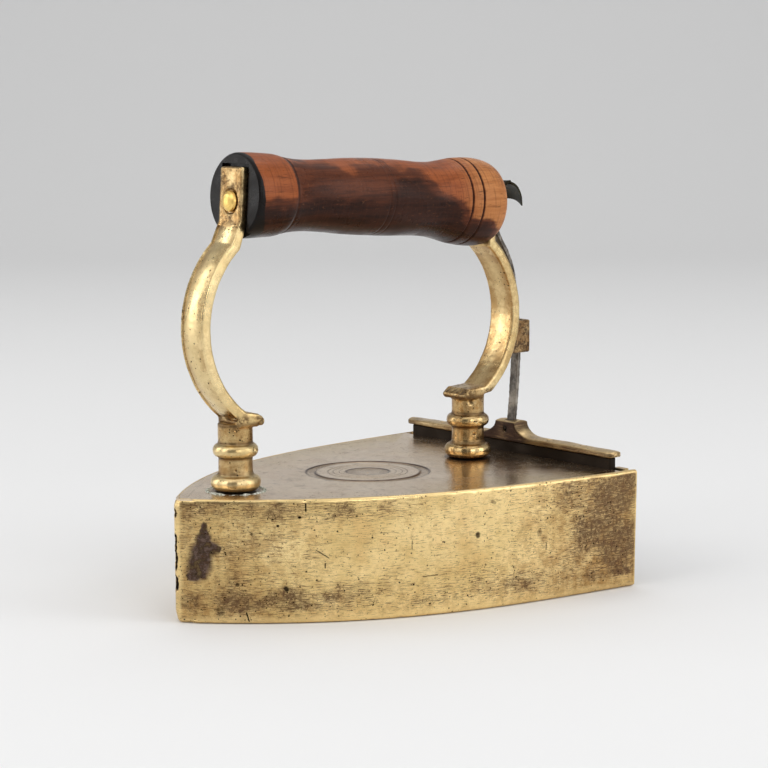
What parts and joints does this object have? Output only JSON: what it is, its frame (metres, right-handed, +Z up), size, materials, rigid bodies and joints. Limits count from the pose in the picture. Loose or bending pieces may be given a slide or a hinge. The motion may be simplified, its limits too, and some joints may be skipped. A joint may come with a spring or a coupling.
{
  "type": "box iron",
  "caption": "Antique brass box iron with a pointed sole, turned wooden grip on two curved brackets, and a rear gate that lifts to take a heated iron slug.",
  "frame": {"origin": "middle of the underside of the sole", "axes": "-Y towards the pointed nose, +Y towards the rear gate, +Z up, +X to the right of a person who stands in front of the nose and looks towards the gate"},
  "size_m": [0.127, 0.1644, 0.1634],
  "materials": {
    "body_brass": "worn satin brass with brown patina, pits and fine scratches",
    "plate_brass": "satin brass, dulled grey-brown, with engraved rings",
    "handle_brass": "hand-polished brass, darker in the hollows",
    "dark_brass": "brown tarnished brass",
    "button_brass": "bright polished brass",
    "grip_wood": "oiled turned hardwood, scorched dark at the front end and underneath",
    "gate_iron": "dark wrought iron with a worn oily surface",
    "rod_iron": "forged iron, pitted, with light wear",
    "slug_iron": "fire-scaled cast iron"
  },
  "bodies": {
    "iron_body": {"body_walls": "body_brass", "top_plate": "plate_brass", "sole_plate": "body_brass", "gate_guide_left": "body_brass", "gate_guide_right": "body_brass", "slug_rail_left": "gate_iron", "slug_rail_right": "gate_iron", "front_bracket": "handle_brass", "rear_bracket": "handle_brass", "front_post_washer": "gate_iron", "rear_post_washer": "gate_iron", "guide_collar": "dark_brass", "handle_grip": "grip_wood", "handle_rod": "rod_iron", "front_button": "button_brass", "rear_button": "button_brass"},
    "gate": {"gate_plate": "gate_iron", "gate_cap": "dark_brass", "gate_pin_1": "rod_iron", "gate_pin_2": "rod_iron", "gate_pin_3": "rod_iron", "gate_pin_4": "rod_iron", "lift_rod": "rod_iron", "rod_foot_pin": "rod_iron", "thumb_leaf": "rod_iron", "thumb_rivet": "rod_iron"},
    "slug": {"heating_slug": "slug_iron"}
  },
  "joints": [
    {"name": "gate_lift", "type": "slide", "parent": "iron_body", "child": "gate", "axis": [0, 0, 1], "range_m": [0, 0.026]},
    {"name": "slug_slide", "type": "slide", "parent": "iron_body", "child": "slug", "axis": [0, 1, 0], "range_m": [-0.0075, 0.005]}
  ]
}
